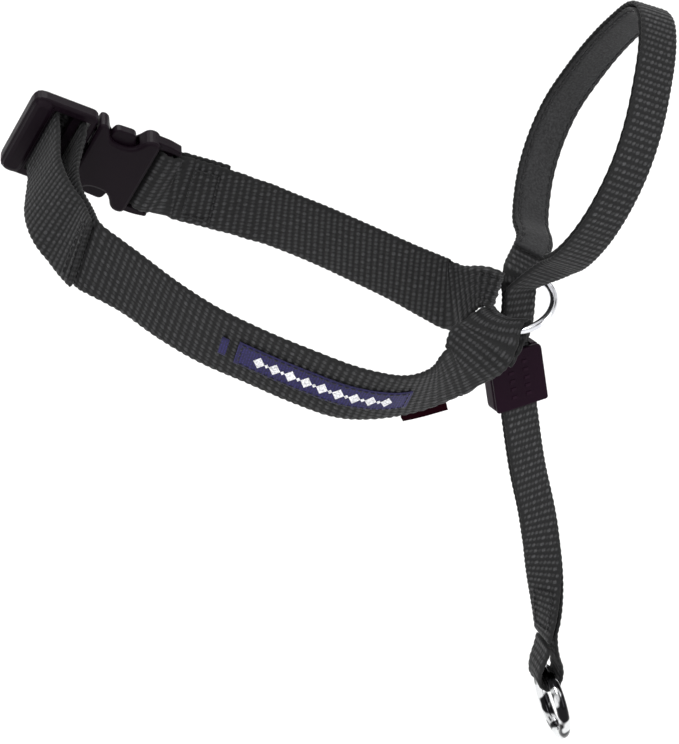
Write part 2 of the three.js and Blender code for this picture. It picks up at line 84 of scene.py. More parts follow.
def catmull(points, knots, t):
    """Catmull-Rom through points at the given knots, at the values t."""
    p = np.asarray(points, dtype=float)
    k = np.asarray(knots, dtype=float)
    i = np.clip(np.searchsorted(k, t, side="right") - 1, 0, len(k) - 2)
    m = np.zeros_like(p)
    m[1:-1] = (p[2:] - p[:-2]) / (k[2:] - k[:-2])[:, None]
    m[0] = (p[1] - p[0]) / (k[1] - k[0])
    m[-1] = (p[-1] - p[-2]) / (k[-1] - k[-2])
    h = (k[i + 1] - k[i])[:, None]
    x = ((t - k[i]) / (k[i + 1] - k[i]))[:, None]
    a = (2 * x**3 - 3 * x**2 + 1) * p[i] + (x**3 - 2 * x**2 + x) * h * m[i]
    return a + (-2 * x**3 + 3 * x**2) * p[i + 1] + (x**3 - x**2) * h * m[i + 1]


class Rail:
    """A webbing's centre line: stations of (x, y, z, wx, wy, wz, width), read by length along it."""

    def __init__(self, stations, width=WEB_W):
        st = np.array([list(s) + [width] * (7 - len(s)) for s in stations], dtype=float)
        chord = np.linalg.norm(np.diff(st[:, :3], axis=0), axis=1)
        knots = np.concatenate([[0], np.cumsum(chord)])
        t = np.linspace(0, knots[-1], max(200, int(knots[-1] * 4)))
        p = catmull(st[:, :3], knots, t)
        self.s = np.concatenate([[0], np.cumsum(np.linalg.norm(np.diff(p, axis=0), axis=1))])
        self.p = p
        self.tan = unit(np.gradient(p, self.s, axis=0))
        w = catmull(st[:, 3:6], knots, t)
        w = w - self.tan * (w * self.tan).sum(1, keepdims=True)
        self.w = unit(w)
        self.n = unit(np.cross(self.tan, self.w))
        self.width = catmull(st[:, 6:7], knots, t)[:, 0]
        self.length = self.s[-1]
        self.bow = None

    def at(self, s):
        s = np.asarray(s, dtype=float)
        pick = lambda a: np.stack([np.interp(s, self.s, a[:, k]) for k in range(3)], axis=-1)
        return pick(self.p), unit(pick(self.w)), unit(pick(self.n)), np.interp(s, self.s, self.width)


def frames_rail(frames, step=0.5):
    """A rail through ready-made frames (p, w, n, width)."""
    r = Rail.__new__(Rail)
    p0 = np.array([f[0] for f in frames])
    chord = np.maximum(1e-3, np.linalg.norm(np.diff(p0, axis=0), axis=1))
    knots = np.concatenate([[0], np.cumsum(chord)])
    t = np.linspace(0, knots[-1], int(knots[-1] / step))
    p = catmull(p0, knots, t)
    r.s = np.concatenate([[0], np.cumsum(np.linalg.norm(np.diff(p, axis=0), axis=1))])
    r.p = p
    tan = unit(np.gradient(p, r.s, axis=0))
    w = catmull(np.array([f[1] for f in frames]), knots, t)
    w = unit(w - tan * (w * tan).sum(1, keepdims=True))
    r.tan, r.w, r.n = tan, w, unit(np.cross(tan, w))
    r.width = catmull(np.array([[f[3]] for f in frames]), knots, t)[:, 0]
    bows = np.array([f[4] if len(f) > 4 else np.zeros(4) for f in frames])
    r.bow = catmull(bows, knots, t)
    r.length = r.s[-1]
    return r


# ---- mesh helpers -----------------------------------------------------------------------------------
def make_mesh(name, verts, faces, material, attrs=None, smooth_faces=True):
    mesh = bpy.data.meshes.new(name)
    verts = np.asarray(verts, dtype=np.float32) * MM
    faces = np.asarray(faces, dtype=np.int32)
    k = faces.shape[1]
    mesh.vertices.add(len(verts))
    mesh.vertices.foreach_set("co", verts.ravel())
    mesh.loops.add(faces.size)
    mesh.loops.foreach_set("vertex_index", faces.ravel())
    mesh.polygons.add(len(faces))
    mesh.polygons.foreach_set("loop_start", np.arange(0, faces.size, k, dtype=np.int32))
    mesh.polygons.foreach_set("use_smooth", np.full(len(faces), smooth_faces))
    mesh.update(calc_edges=True)
    mesh.validate()
    for key, values in (attrs or {}).items():
        a = mesh.color_attributes.new(key, "FLOAT_COLOR", "POINT")
        v = np.clip(np.asarray(values, dtype=np.float32), 0, 1)
        a.data.foreach_set("color", np.stack([v, v, v, np.ones_like(v)], axis=1).ravel())
    mesh.materials.append(material)
    obj = bpy.data.objects.new(name, mesh)
    bpy.context.scene.collection.objects.link(obj)
    return obj


def grid_faces(rows, cols, closed_rows=False, closed_cols=True):
    i = np.arange(rows if closed_rows else rows - 1)
    j = np.arange(cols if closed_cols else cols - 1)
    a, b = np.meshgrid(i, j, indexing="ij")
    a2, b2 = (a + 1) % rows, (b + 1) % cols
    q = np.stack([a * cols + b, a * cols + b2, a2 * cols + b2, a2 * cols + b], axis=-1)
    return q.reshape(-1, 4)


def caps(rows, cols, half):
    """Quads closing both ends of a flat tube: its outline runs out on one face and back on the other."""
    out = []
    last = (rows - 1) * cols
    for j in range(half - 1):
        k = cols - 1 - j
        out.append([j, k, k - 1, j + 1])
        out.append([last + j, last + j + 1, last + k - 1, last + k])
    return np.array(out)


def weave_height(s, u, half, row, rib, seed):
    """Height of ribbed webbing, 0 to 1: rows of short ribs across the strap, each row shifted half a rib."""
    line = s / row
    k = np.floor(line)
    fs = line - k
    wob = 0.10 * np.sin(k * 2.3 + seed) + 0.07 * np.sin(u * 1.7 + k)
    x = u / rib + 0.5 * np.mod(k, 2) + wob
    fu = x - np.floor(x)
    across = np.sqrt(np.clip(1 - (2 * fu - 1) ** 2, 0, 1))
    ridge = np.clip(1 - np.abs((fs - 0.5) / 0.46) ** 2.2, 0, 1)
    lean = np.clip(1 - ((fs - 0.5 - 0.16 * (2 * fu - 1)) / 0.42) ** 2, 0, 1)
    odd = 0.85 + 0.15 * np.sin(k * 12.9898 + np.floor(x) * 78.233 + seed)
    body = (0.35 * ridge + 0.65 * lean * across) * odd
    edge = np.clip((half - np.abs(u)) / 1.0, 0, 1)
    return body * (0.35 + 0.65 * smooth(edge))


BOW_RADIUS, BOW_LIMIT = 8.8, 7.0  # webbing folded round a ring follows the ring this far out


def webbing(name, rail, material, thick=WEB_T, row=1.9, rib=1.2, relief=0.34, s0=0.0, s1=None,
            width=None, fine=1.0, lift=0.0, scallop=0.22, flare=None):
    """A woven strap along a rail, with real ribs on both faces and a scalloped edge."""
    s1 = rail.length if s1 is None else s1
    w_mid = width or float(np.median(rail.width))
    rows_n = int((s1 - s0) / row * 7 * fine) + 2
    cols_n = int(w_mid / rib * 6 * fine) + 2
    s = np.linspace(s0, s1, rows_n)
    p, w, n, wid = rail.at(s)
    if width:
        wid = np.full(rows_n, width)
    half = wid / 2
    frac = np.linspace(-1, 1, cols_n)
    frac = np.sign(frac) * (1 - (1 - np.abs(frac)) ** 1.15)
    edge_wave = 1 + scallop / half[:, None] * (np.abs(np.sin(np.pi * (s[:, None] / row))) - 0.6)
    u = half[:, None] * frac[None, :] * mix(1, edge_wave, np.abs(frac)[None, :] ** 6)
    flat_u = (w_mid / 2) * frac[None, :] * np.ones((rows_n, 1))
    bowed = np.zeros((rows_n, cols_n, 3))
    if rail.bow is not None:
        bow = np.stack([np.interp(s, rail.s, rail.bow[:, k]) for k in range(4)], axis=-1)
        off = np.minimum((u + bow[:, None, 3]) ** 2, BOW_LIMIT**2)
        reach = BOW_RADIUS - np.sqrt(BOW_RADIUS**2 - off)
        bowed = reach[:, :, None] * bow[:, None, :3]
    sides = []
    heights = []
    round_edge = np.sqrt(np.clip(1 - np.abs(frac) ** 10, 0, 1))
    for side, seed in ((1, 0.0), (-1, 1.7)):
        h = weave_height(s[:, None], flat_u, w_mid / 2, row, rib, seed)
        t = (thick / 2 - relief * 0.6) * round_edge[None, :] + relief * h
        out = n[:, None, :] * (side * t + lift)[:, :, None]
        q = p[:, None, :] + w[:, None, :] * u[:, :, None] + out + bowed
        if flare is not None:
            q = q + flare(s, frac, n)
        sides.append(q)
        heights.append(h)
    ring_pts = np.concatenate([sides[0], sides[1][:, ::-1]], axis=1)
    # ring_h is the weave height, written as rise: the cloth material paints shade in the grooves and
    # highlights on the rib tops from it
    ring_h = np.concatenate([heights[0], heights[1][:, ::-1]], axis=1)
    cols = 2 * cols_n
    faces = np.concatenate([grid_faces(rows_n, cols), caps(rows_n, cols, cols_n)])
    return make_mesh(name, ring_pts.reshape(-1, 3), faces[:, ::-1], material, {"rise": ring_h.ravel()})


def stitches(name, points, normals, material, pitch=2.4, thick=0.42, dip=0.22, fill=0.82):
    """A sewn row: one short bent thread per stitch along a line on the cloth's surface."""
    pts = np.asarray(points, dtype=float)
    nrm = np.asarray(normals, dtype=float)
    s = np.concatenate([[0], np.cumsum(np.linalg.norm(np.diff(pts, axis=0), axis=1))])
    count = max(2, int(round(s[-1] / pitch)))
    real = s[-1] / count
    verts, faces = [], []
    around, along = 8, 9
    ang = np.linspace(0, 2 * np.pi, around, endpoint=False)
    for k in range(count):
        mid = (k + 0.5) * real
        x = np.linspace(-0.5, 0.5, along) * real * fill
        at = lambda a, v: np.stack([np.interp(v, s, a[:, c]) for c in range(3)], axis=-1)
        c = at(pts, mid + x)
        nn = unit(at(nrm, mid + x))
        f = np.abs(x / (0.5 * real * fill))
        c = c + nn * (thick * 0.35 - dip * 2.2 * f[:, None] ** 3)
        tan = unit(np.gradient(c, axis=0))
        b = unit(np.cross(nn, tan))
        m = np.cross(tan, b)
        r = thick / 2 * np.sqrt(np.clip(1.02 - f**4, 0.05, 1))
        base = len(verts) * around * along
        ring_pts = (c[:, None, :] + (b[:, None, :] * np.cos(ang)[None, :, None]
                    + m[:, None, :] * np.sin(ang)[None, :, None] * 0.8) * r[:, None, None])
        verts.append(ring_pts.reshape(-1, 3))
        faces.append(grid_faces(along, around) + base)
    return make_mesh(name, np.concatenate(verts), np.concatenate(faces), material)


# ---- materials --------------------------------------------------------------------------------------
def new_material(name):
    m = bpy.data.materials.new(name)
    m.use_nodes = True
    nt = m.node_tree
    bsdf = nt.nodes["Principled BSDF"]
    return m, nt, bsdf


def node(nt, kind, **inputs):
    n = nt.nodes.new(kind)
    for key, value in inputs.items():
        n.inputs[key].default_value = value
    return n


def cloth_material(name, dark, light, rough=0.72, fibre=2600.0, bump=0.35, sheen=0.06, tint=0.25):
    """Woven nylon: painted shade in the grooves and painted highlights on the rib tops, set from the rise
    attribute, with fine filaments and slight unevenness.
    """
    m, nt, bsdf = new_material(name)
    link = nt.links.new
    rise = nt.nodes.new("ShaderNodeVertexColor")
    rise.layer_name = "rise"
    coord = nt.nodes.new("ShaderNodeTexCoord")
    fine = node(nt, "ShaderNodeTexNoise", Scale=fibre, Detail=3.0, Roughness=0.65)
    broad = node(nt, "ShaderNodeTexNoise", Scale=140.0, Detail=4.0, Roughness=0.6)
    link(coord.outputs["Object"], fine.inputs["Vector"])
    link(coord.outputs["Object"], broad.inputs["Vector"])
    # painted light: low rise gives the painted shade of the grooves, high rise the painted highlight of the
    # rib tops
    painted_rib_light = nt.nodes.new("ShaderNodeValToRGB")
    painted_rib_light.color_ramp.elements[0].position = 0.42
    painted_rib_light.color_ramp.elements[0].color = (*dark, 1)
    painted_rib_light.color_ramp.elements[1].position = 0.92
    painted_rib_light.color_ramp.elements[1].color = (*light, 1)
    link(rise.outputs["Color"], painted_rib_light.inputs["Fac"])
    vary = nt.nodes.new("ShaderNodeMapRange")
    vary.inputs["To Min"].default_value = 1 - tint
    vary.inputs["To Max"].default_value = 1 + tint
    link(broad.outputs["Fac"], vary.inputs["Value"])
    grain = nt.nodes.new("ShaderNodeMapRange")
    grain.inputs["From Min"].default_value = 0.3
    grain.inputs["From Max"].default_value = 0.7
    grain.inputs["To Min"].default_value = 0.45
    grain.inputs["To Max"].default_value = 1.65
    link(fine.outputs["Fac"], grain.inputs["Value"])
    both = nt.nodes.new("ShaderNodeMath")
    both.operation = "MULTIPLY"
    link(vary.outputs["Result"], both.inputs[0])
    link(grain.outputs["Result"], both.inputs[1])
    colour = nt.nodes.new("ShaderNodeVectorMath")
    colour.operation = "SCALE"
    link(painted_rib_light.outputs["Color"], colour.inputs[0])
    link(both.outputs["Value"], colour.inputs["Scale"])
    link(colour.outputs["Vector"], bsdf.inputs["Base Color"])
    bsdf.inputs["Roughness"].default_value = rough
    bsdf.inputs["Sheen Weight"].default_value = sheen
    bsdf.inputs["Sheen Roughness"].default_value = 0.45
    bsdf.inputs["Specular IOR Level"].default_value = 0.3
    bmp = node(nt, "ShaderNodeBump", Strength=bump, Distance=0.00012)
    link(fine.outputs["Fac"], bmp.inputs["Height"])
    link(bmp.outputs["Normal"], bsdf.inputs["Normal"])
    return m


def plastic_material(name, base, rough, wear, gloss):
    """Moulded acetal: fine spark grain, slight polish where it is handled, paler worn edges."""
    m, nt, bsdf = new_material(name)
    link = nt.links.new
    coord = nt.nodes.new("ShaderNodeTexCoord")
    grain = node(nt, "ShaderNodeTexNoise", Scale=5200.0, Detail=2.0, Roughness=0.5)
    broad = node(nt, "ShaderNodeTexNoise", Scale=90.0, Detail=5.0, Roughness=0.62)
    link(coord.outputs["Object"], grain.inputs["Vector"])
    link(coord.outputs["Object"], broad.inputs["Vector"])
    geo = nt.nodes.new("ShaderNodeNewGeometry")
    edge = nt.nodes.new("ShaderNodeMapRange")
    edge.inputs["From Min"].default_value = 0.54
    edge.inputs["From Max"].default_value = 0.66
    link(geo.outputs["Pointiness"], edge.inputs["Value"])
    worn = nt.nodes.new("ShaderNodeMath")
    worn.operation = "MULTIPLY"
    link(edge.outputs["Result"], worn.inputs[0])
    link(broad.outputs["Fac"], worn.inputs[1])
    tone = nt.nodes.new("ShaderNodeMix")
    tone.data_type = "RGBA"
    tone.inputs["A"].default_value = (*base, 1)
    tone.inputs["B"].default_value = (*wear, 1)
    link(worn.outputs["Value"], tone.inputs["Factor"])
    link(tone.outputs["Result"], bsdf.inputs["Base Color"])
    polish = nt.nodes.new("ShaderNodeMapRange")
    polish.inputs["To Min"].default_value = rough - 0.08
    polish.inputs["To Max"].default_value = rough + 0.10
    link(broad.outputs["Fac"], polish.inputs["Value"])
    link(polish.outputs["Result"], bsdf.inputs["Roughness"])
    bmp = node(nt, "ShaderNodeBump", Strength=0.25, Distance=0.00006)
    link(grain.outputs["Fac"], bmp.inputs["Height"])
    link(bmp.outputs["Normal"], bsdf.inputs["Normal"])
    bsdf.inputs["Specular IOR Level"].default_value = gloss
    return m


def chrome_material(name, scale, dark, light, edge):
    """Polished wire with fine drawn scratches. Its dark and pale patches are painted reflections in the base
    colour, standing in for what bright metal reflects.
    """
    m, nt, bsdf = new_material(name)
    link = nt.links.new
    coord = nt.nodes.new("ShaderNodeTexCoord")
    broad = node(nt, "ShaderNodeTexNoise", Scale=scale, Detail=1.0, Roughness=0.45)
    scratch = node(nt, "ShaderNodeTexNoise", Scale=3200.0, Detail=2.0, Roughness=0.5)
    link(coord.outputs["Object"], broad.inputs["Vector"])
    link(coord.outputs["Object"], scratch.inputs["Vector"])
    gloss = nt.nodes.new("ShaderNodeMapRange")
    gloss.inputs["To Min"].default_value = 0.08
    gloss.inputs["To Max"].default_value = 0.26
    link(broad.outputs["Fac"], gloss.inputs["Value"])
    link(gloss.outputs["Result"], bsdf.inputs["Roughness"])
    # painted reflection: dark and pale patches in the base colour
    tone = nt.nodes.new("ShaderNodeValToRGB")
    tone.color_ramp.elements[0].position = edge[0]
    tone.color_ramp.elements[0].color = (dark, dark, dark * 1.1, 1)
    tone.color_ramp.elements[1].position = edge[1]
    tone.color_ramp.elements[1].color = (light, light * 1.01, light * 1.02, 1)
    link(broad.outputs["Fac"], tone.inputs["Fac"])
    link(tone.outputs["Color"], bsdf.inputs["Base Color"])
    bsdf.inputs["Metallic"].default_value = 1.0
    bmp = node(nt, "ShaderNodeBump", Strength=0.12, Distance=0.00003)
    link(scratch.outputs["Fac"], bmp.inputs["Height"])
    link(bmp.outputs["Normal"], bsdf.inputs["Normal"])
    return m


# In each cloth the first colour is its own dark tone, deepened into painted shade for the grooves; the second
# is the painted highlight on the rib tops.
WEB = cloth_material("neck webbing", (0.0028, 0.0028, 0.0032), (0.036, 0.036, 0.038))
NOSE_WEB = cloth_material("nose webbing", (0.0032, 0.0032, 0.0036), (0.042, 0.042, 0.044))
LINING = cloth_material(
    "lining", (0.006, 0.006, 0.0065), (0.020, 0.020, 0.021), rough=0.9, fibre=1800.0, bump=0.8, sheen=0.12,
)
LABEL = cloth_material(
    "label cloth", (0.007, 0.005, 0.045), (0.018, 0.012, 0.115), rough=0.6, fibre=2200.0, bump=0.25,
)
MOTIF = cloth_material(
    "label motif yarn", (0.45, 0.45, 0.47), (0.72, 0.72, 0.74), rough=0.6, fibre=2200.0, bump=0.3,
)
YARN = cloth_material(
    "thread", (0.010, 0.010, 0.011), (0.022, 0.022, 0.023), rough=0.55, fibre=4200.0, bump=0.5,
)
PLASTIC = plastic_material(
    "buckle plastic", (0.0056, 0.0026, 0.0052), rough=0.40, wear=(0.020, 0.013, 0.019), gloss=0.09,
)
CLAMP_PLASTIC = plastic_material(
    "clamp plastic", (0.0078, 0.0013, 0.0062), rough=0.46, wear=(0.022, 0.008, 0.018), gloss=0.06,
)
KEEPER_PLASTIC = plastic_material(
    "keeper plastic", (0.0072, 0.0010, 0.0024), rough=0.7, wear=(0.014, 0.003, 0.005), gloss=0.0,
)
# Both rings carry painted reflections in their base colour: strong dark patches on the leash ring, milder
# dark and pale ones on the centre ring.
CHROME = chrome_material("leash ring metal", scale=210.0, dark=0.012, light=0.72, edge=(0.44, 0.50))
CENTRE_RING_METAL = chrome_material("centre ring metal", scale=260.0, dark=0.58, light=0.84, edge=(0.30, 0.70))

# ---- where the big pieces sit (mm) ------------------------------------------------------------------
BUCKLE_AT = arr(-41.2, 32.6, 17)
BUCKLE_X = unit(arr(-0.887, -0.168, 0.426))
BUCKLE_Y = unit(arr(0.457, -0.225, 0.86))
BUCKLE_Z = unit(np.cross(BUCKLE_X, BUCKLE_Y))


def buckle(a, b, c):
    return BUCKLE_AT + BUCKLE_X * a + BUCKLE_Y * b + BUCKLE_Z * c


RING_R, RING_WIRE = 8.8, 1.0
RING_AT = arr(54.7, -10.6, -1.2)
RING_Z = unit(arr(-0.2, -0.45, 0.87))
RING_IN = unit(arr(0.68, 0.585, 0.447))
RING_ALONG = unit(np.cross(RING_Z, RING_IN))
LEG_AT = arr(52.7, -10, -13)
LEG_DOWN = unit(arr(0.15, 0, -1))
LEG_W = unit(arr(0.9, 0.41, 0.135))
LEG_N = unit(np.cross(LEG_DOWN, LEG_W))


def ring_point(a, c):
    return RING_AT + RING_IN * (a - RING_R) + RING_Z * c


def leg_point(down, off=0.0):
    return LEG_AT + LEG_DOWN * down + LEG_N * off


def frame_list(rail, s, lift=0.0, flip=False):
    p, w, n, wid = rail.at(np.asarray(s, dtype=float))
    return [(p[i] + n[i] * lift, w[i], n[i] * (-1 if flip else 1), wid[i]) for i in range(len(p))]


# ---- neck webbing -----------------------------------------------------------------------------------
FAR = Rail([
    (-41.2, 32.6, 17, 0.457, -0.225, 0.86),
    (-31.7, 33.9, 13, 0.36, -0.15, 0.92),
    (-22, 33.3, 10.4, 0.26, -0.19, 0.95),
    (-12.3, 30.6, 8, 0.19, -0.24, 0.95),
    (-3, 26.4, 5.8, 0.12, -0.26, 0.96),
    (6.2, 21, 3.9, 0.1, -0.24, 0.97),
    (15, 14.6, 2.2, 0.1, -0.22, 0.97),
    (23.5, 8, 0.6, 0.15, -0.23, 0.96),
    (32, 0.8, -1, 0.3, -0.27, 0.91),
    (38.4, -5.6, -1.2, 0.38, -0.24, 0.89, 18),
    (42, -9.2, 1.65, 0.42, -0.06, 0.9, 13.0),
    (45.8, -12.6, 4.25, 0.35, 0.2, 0.9, 10.1),
    (49.2, -15.6, 4.2, 0.3, 0.25, 0.9, 9.6),
])
NEAR = Rail([
    (-51.5, -14.3, 12.6, 0.3, -0.09, 0.95),
    (-41.5, -19.4, 8, 0.29, -0.26, 0.92),
    (-32, -25, 3, 0.29, -0.3, 0.91),
    (-22, -29.6, -1.6, 0.27, -0.33, 0.9),
    (-10.5, -32.8, -6, 0.26, -0.37, 0.89),
    (1, -34.6, -10.5, 0.3, -0.36, 0.88),
    (12.5, -34.4, -15, 0.34, -0.38, 0.86),
    (23.5, -31, -17.6, 0.32, -0.48, 0.81),
    (33, -26.2, -17, 0.02, -0.55, 0.83),
    (40.5, -22.6, -13.2, -0.5, -0.42, 0.75, 17.5),
])
BACK = Rail([
    (-51.9, -13.6, 12.7, 0.31, -0.07, 0.95),
    (-55.4, -6.2, 14.2, 0.44, -0.02, 0.9),
    (-59.2, 1.6, 17, 0.52, -0.04, 0.85),
    (-60.6, 9.6, 19.4, 0.53, -0.1, 0.84),
    (-59.8, 17, 21.9, 0.49, -0.16, 0.85),
])


def turn(points, place, w_of, width_of, bow_of=None):
    """Frames for webbing that turns round a bar or a ring, through an outline of (away, side) points."""
    out = []
    for i, (a, c) in enumerate(points):
        pa = points[max(0, i - 1)]
        na = points[min(len(points) - 1, i + 1)]
        d = unit(place(*na) - place(*pa))
        w = w_of(a)
        w = unit(w - d * np.dot(w, d))
        bow = bow_of(a) if bow_of else np.zeros(4)
        out.append((place(a, c), w, unit(np.cross(d, w)), width_of(a), bow))
    return out


def pad4(frames):
    """The same frames, flat ones given an empty bow."""
    return [f if len(f) > 4 else (*f, np.zeros(4)) for f in frames]


BAR_TURN = [(-8, 1.2), (-5.8, 2.1), (-3.7, 2.5), (-2, 1.75), (-1.2, 0), (-2, -1.75), (-3.7, -2.5),
            (-5.8, -2.1), (-8, -1.2)]
BAR_LIFT = 0.98  # half the distance between the two layers turned round the buckle's bar
LAYER_START, LAYER_END = 10.4, 22.4  # where those two layers lie, along the strap
far_frames = (
    frame_list(FAR, np.linspace(LAYER_END, LAYER_START, 6), -BAR_LIFT)
    + turn(BAR_TURN, lambda a, c: buckle(a, 0, c), lambda a: BUCKLE_Y, lambda a: WEB_W)
    + frame_list(FAR, np.linspace(LAYER_START, LAYER_END, 6), BAR_LIFT)
    + frame_list(FAR, [26.5, 30.5], 0.55)
    + frame_list(FAR, np.linspace(35, FAR.length, 24))
)
far_rail = frames_rail(pad4(far_frames))
FOLD_TURN = [(-5.5, 0.9), (-2.4, 2.5), (0, 2.65), (1.9, 1.85), (2.6, 0), (1.9, -1.85), (0, -2.6),
             (-2.4, -2.5), (-5.5, -1.7)]
FOLD_REACH = 5.5  # from the ring's wire to where the fold becomes plain strap
FOLD_W, FOLD_W_OUT = 11.6, 16.4  # width at the wire, and where the strap leaves it
FOLD_SLIDE, FOLD_SLIDE_OUT = 1.1, 1.7  # how far the fold sits along the wire, at the same two places
STRAP_LEAN = unit(arr(-0.8, 0.1, 0.5))


def fold_away(a):
    """0 at the ring's wire, 1 where the strap leaves the fold."""
    return max(0.0, -a) / FOLD_REACH


def fold_slide(a):
    return mix(FOLD_SLIDE, FOLD_SLIDE_OUT, fold_away(a))


fold = turn(
    FOLD_TURN, lambda a, c: ring_point(a, c) - RING_ALONG * fold_slide(a),
    lambda a: mix(RING_ALONG, STRAP_LEAN, fold_away(a) * 0.6),
    lambda a: mix(FOLD_W, FOLD_W_OUT, fold_away(a)),
    lambda a: np.append(RING_IN * (1 - fold_away(a)), -fold_slide(a)),
)
INNER_SLOT, OUTER_SLOT = 20.15, 27.6  # the ladder's slots, from the middle of the buckle
TAIL_OVER = 2.0  # the free tail lies this far off the strap under it
TAIL_RISE = 3.2  # and this much more where it leaves the ladder


def slot_frame(a, c, da, dc):
    d = unit(BUCKLE_X * da + BUCKLE_Z * dc)
    return (buckle(a, 0, c), BUCKLE_Y, unit(np.cross(d, BUCKLE_Y)), WEB_W)


back_side = frame_list(BACK, np.linspace(0.9, BACK.length, 10))
slots = [
    slot_frame(INNER_SLOT, -6, 0, 1), slot_frame(INNER_SLOT, -3.5, 0, 1), slot_frame(INNER_SLOT, 0, 0, 1),
    slot_frame(INNER_SLOT + 0.4, 1.9, 0.3, 1), slot_frame(INNER_SLOT + 1.4, 2.9, 1, 0.5),
    slot_frame(INNER_SLOT + 2.4, 3.15, 1, 0), slot_frame(OUTER_SLOT - 1.2, 2.9, 1, -0.5),
    slot_frame(OUTER_SLOT - 0.3, 1.9, 0.3, -1), slot_frame(OUTER_SLOT, 0, 0, -1),
    slot_frame(OUTER_SLOT, -3.5, 0, -1), slot_frame(OUTER_SLOT - 0.3, -8, -0.1, -1),
]
tail = []
for i, s in enumerate(np.linspace(0.86, 0.02, 14)):
    p, w, n, _ = BACK.at([s * BACK.length])
    h = mix(TAIL_OVER + TAIL_RISE, TAIL_OVER, min(1, i / 8))
    tail.append((p[0] - n[0] * h, w[0], -n[0], WEB_W))
near_frames = frame_list(NEAR, np.linspace(1.2, NEAR.length, 34))

# One long piece of webbing: folded end at the ring, the near side, through the ladder, back as the tail.
fold_back = [(p, w, -n, wid, bow) for p, w, n, wid, bow in fold[::-1]]
near_back = [(p, w, -n, wid) for p, w, n, wid in near_frames[::-1]]
long_rail = frames_rail(pad4(fold_back + near_back + back_side + slots + tail))

near_obj = webbing("neck_webbing_adjustable", long_rail, WEB)
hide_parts("neck_strap_near", "neck_strap_adjuster_end")


PLEATS, PLEAT_REACH, PLEAT_DEPTH = 5, 17.0, 0.55


def gathers(s, frac, n):
    """Pleats that fan out from the gathered end of the far strap."""
    near_end = smooth(1 - (far_rail.length - s) / PLEAT_REACH)[:, None]
    waves = 0.5 + 0.5 * np.cos(PLEATS * np.pi * frac[None, :] + 0.4)
    return n[:, None, :] * (PLEAT_DEPTH * near_end * waves)[:, :, None]


far_obj = webbing("neck_webbing_far", far_rail, WEB, flare=gathers)
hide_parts("neck_strap_far")
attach(far_obj, "collar")
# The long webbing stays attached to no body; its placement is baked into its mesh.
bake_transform(near_obj)

# ---- nose loop and lead -----------------------------------------------------------------------------
NOSE_W, NOSE_T, PAD_T = 9.5, 1.3, 1.2
LEG_OFF = (NOSE_T + GAP) / 2
PASS_WIDTH = 8.6  # the webbing is squeezed to this inside the ring
RING_PASS = (54.7, -9.6, 0.5)
LOOP_AT = arr(57, -9.6, 1)
LOOP_U = unit(arr(0.36, 0.23, 0.9))
LOOP_S = unit(arr(0.26, -0.95, 0.17))
LOOP_W = arr(0.92, 0.2, -0.36)
TEARDROP = [
    (9.5, 8.6), (18.4, 12.8), (25.6, 20), (30.2, 29), (32, 39), (30.5, 49), (26, 59),
    (19.3, 69), (11, 75.5), (2, 76.5), (-7, 71.2), (-15.7, 63.6), (-23, 54.5), (-28, 46),
    (-29.4, 37), (-27.6, 28.5), (-23, 21), (-17, 15), (-9.5, 11.4),
]


def station(p, w):
    return (*p, *w, NOSE_W)


LEAD = Rail([
    (*RING_PASS, 0.91, 0.41, 0, PASS_WIDTH), (54.3, -9.6, -6, 0.91, 0.41, 0.06, PASS_WIDTH),
    station(leg_point(0), LEG_W), station(leg_point(16.5), LEG_W), station(leg_point(33), LEG_W),
    (60.6, -10, -60, 0.93, 0.3, 0.14, NOSE_W), (62.5, -10, -73.5, 0.95, -0.2, 0.1, NOSE_W),
    (63.6, -10, -86, 0.7, -0.7, 0.05, NOSE_W), (63.6, -10, -95, 0.35, -0.93, 0, NOSE_W),
])
PASS_W = unit(arr(0.91, 0.41, 0))
PASS_N = LEAD.n[0]


def pass_point(up, off):
    return arr(*RING_PASS) + arr(0.1, 0, 1) * up + PASS_N * off


LOOP = Rail(
    [station(pass_point(0, LEG_OFF), PASS_W), station(pass_point(2.2, LEG_OFF), PASS_W)]
    + [station(LOOP_AT + LOOP_U * u + LOOP_S * s, LOOP_W) for s, u in TEARDROP]
    + [station(pass_point(5, -LEG_OFF), PASS_W), station(pass_point(0, -LEG_OFF), PASS_W)]
)
EYE_AT = arr(63.9, -10, -105.5)
EYE_W = unit(arr(0.28, -0.96, 0))
EYE_DOWN = arr(0, 0, -1)
EYE_SIDE = unit(np.cross(EYE_DOWN, EYE_W))
EYE_TURN = [(-6.5, -1.5), (-2.6, -2.85), (0, -3), (2.1, -2.1), (3, 0), (2.1, 2.1), (0, 3), (-2.6, 2.75),
            (-6.5, 1.3), (-8.8, 0.85)]
EYE_REACH = 5  # above the leash ring's wire, where the eye's webbing lies flat again
EYE_WIDTH, EYE_TOP_WIDTH = 8.2, NOSE_W + 0.6


def eye_away(d):
    """0 at the leash ring's wire, 1 where the webbing is flat again."""
    return min(1.0, max(0.0, -d) / EYE_REACH)


eye = turn(
    EYE_TURN, lambda d, s: EYE_AT + EYE_DOWN * d + EYE_SIDE * s, lambda d: EYE_W,
    lambda d: mix(EYE_WIDTH, EYE_TOP_WIDTH, eye_away(d)),
    lambda d: np.append(EYE_DOWN * (1 - eye_away(d)), 0),
)
LOOP_TRIM = 2.6  # the loop's own frames start and stop this far from the ring
nose_frames = (
    frame_list(LEAD, np.linspace(LEAD.length, 0, 30), LEG_OFF, True)
    + frame_list(LOOP, np.linspace(LOOP_TRIM, LOOP.length - LOOP_TRIM, 90))
    + frame_list(LEAD, np.linspace(0, LEAD.length - 1.5, 30), -LEG_OFF)
    + eye
)
nose_rail = frames_rail(pad4(nose_frames))
nose_obj = webbing("nose_webbing", nose_rail, NOSE_WEB, thick=NOSE_T, row=1.75, rib=1.1,
                   relief=0.26, scallop=0.16)
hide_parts("nose_strap")
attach(nose_obj, "nose")

PAD_LIFT = NOSE_T / 2 + 0.25 + PAD_T / 2
PAD_S0, PAD_S1 = 0.08 * LOOP.length, 0.942 * LOOP.length


